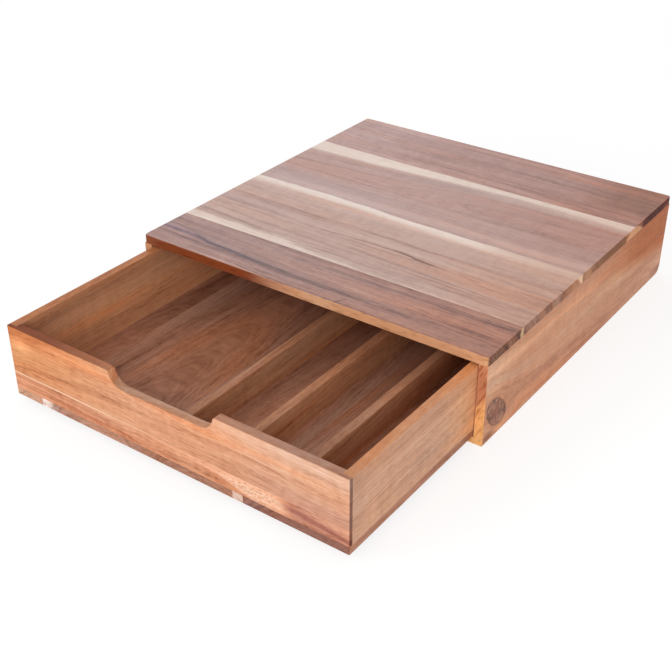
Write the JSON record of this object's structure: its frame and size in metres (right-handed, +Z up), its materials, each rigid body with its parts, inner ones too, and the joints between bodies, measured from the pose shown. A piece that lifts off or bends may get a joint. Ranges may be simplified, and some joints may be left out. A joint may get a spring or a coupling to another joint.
{
  "type": "coffee pod drawer",
  "caption": "Low wooden case with a divided drawer for coffee pods, drawn half out, with a finger notch in its front and a flat top to stand a coffee maker on.",
  "frame": {"origin": "centre of the bounding box's base at rest: on the worktop, on the centre line, midway between the case's back and the face of the drawn-out drawer", "axes": "+Z up, +Y towards the back of the case, +X to the right seen from the drawer's front; the drawer pulls out along -Y"},
  "size_m": [0.33, 0.4884, 0.077],
  "materials": {
    "acacia_top_dark": "satin oil, dark heartwood",
    "acacia_top": "satin oil, greyish pink heartwood with pale sapwood",
    "acacia_case_side": "satin oil, tan heartwood",
    "acacia_drawer_front": "satin oil, orange heartwood",
    "acacia_drawer_wall": "satin oil, tan heartwood",
    "acacia_divider": "satin oil, warm brown heartwood",
    "acacia_floor": "satin oil, brown heartwood"
  },
  "bodies": {
    "case": {"top_board_1": "acacia_top_dark", "top_board_2": "acacia_top", "top_board_3": "acacia_top", "top_board_4": "acacia_top", "top_board_5": "acacia_top", "side_panel_left": "acacia_case_side", "side_panel_right": "acacia_case_side", "back_panel": "acacia_case_side"},
    "drawer": {"drawer_front_lower": "acacia_drawer_front", "drawer_front_upper": "acacia_drawer_front", "drawer_back": "acacia_drawer_wall", "drawer_side_left": "acacia_drawer_wall", "drawer_side_right": "acacia_drawer_wall", "divider_1": "acacia_divider", "divider_2": "acacia_divider", "divider_3": "acacia_divider", "floor_board_1": "acacia_floor", "floor_board_2": "acacia_floor", "floor_board_3": "acacia_floor", "floor_board_4": "acacia_floor"}
  },
  "joints": [
    {"name": "drawer_slide", "type": "slide", "parent": "case", "child": "drawer", "axis": [0, -1, 0], "range_m": [-0.1565, 0.0835]}
  ]
}
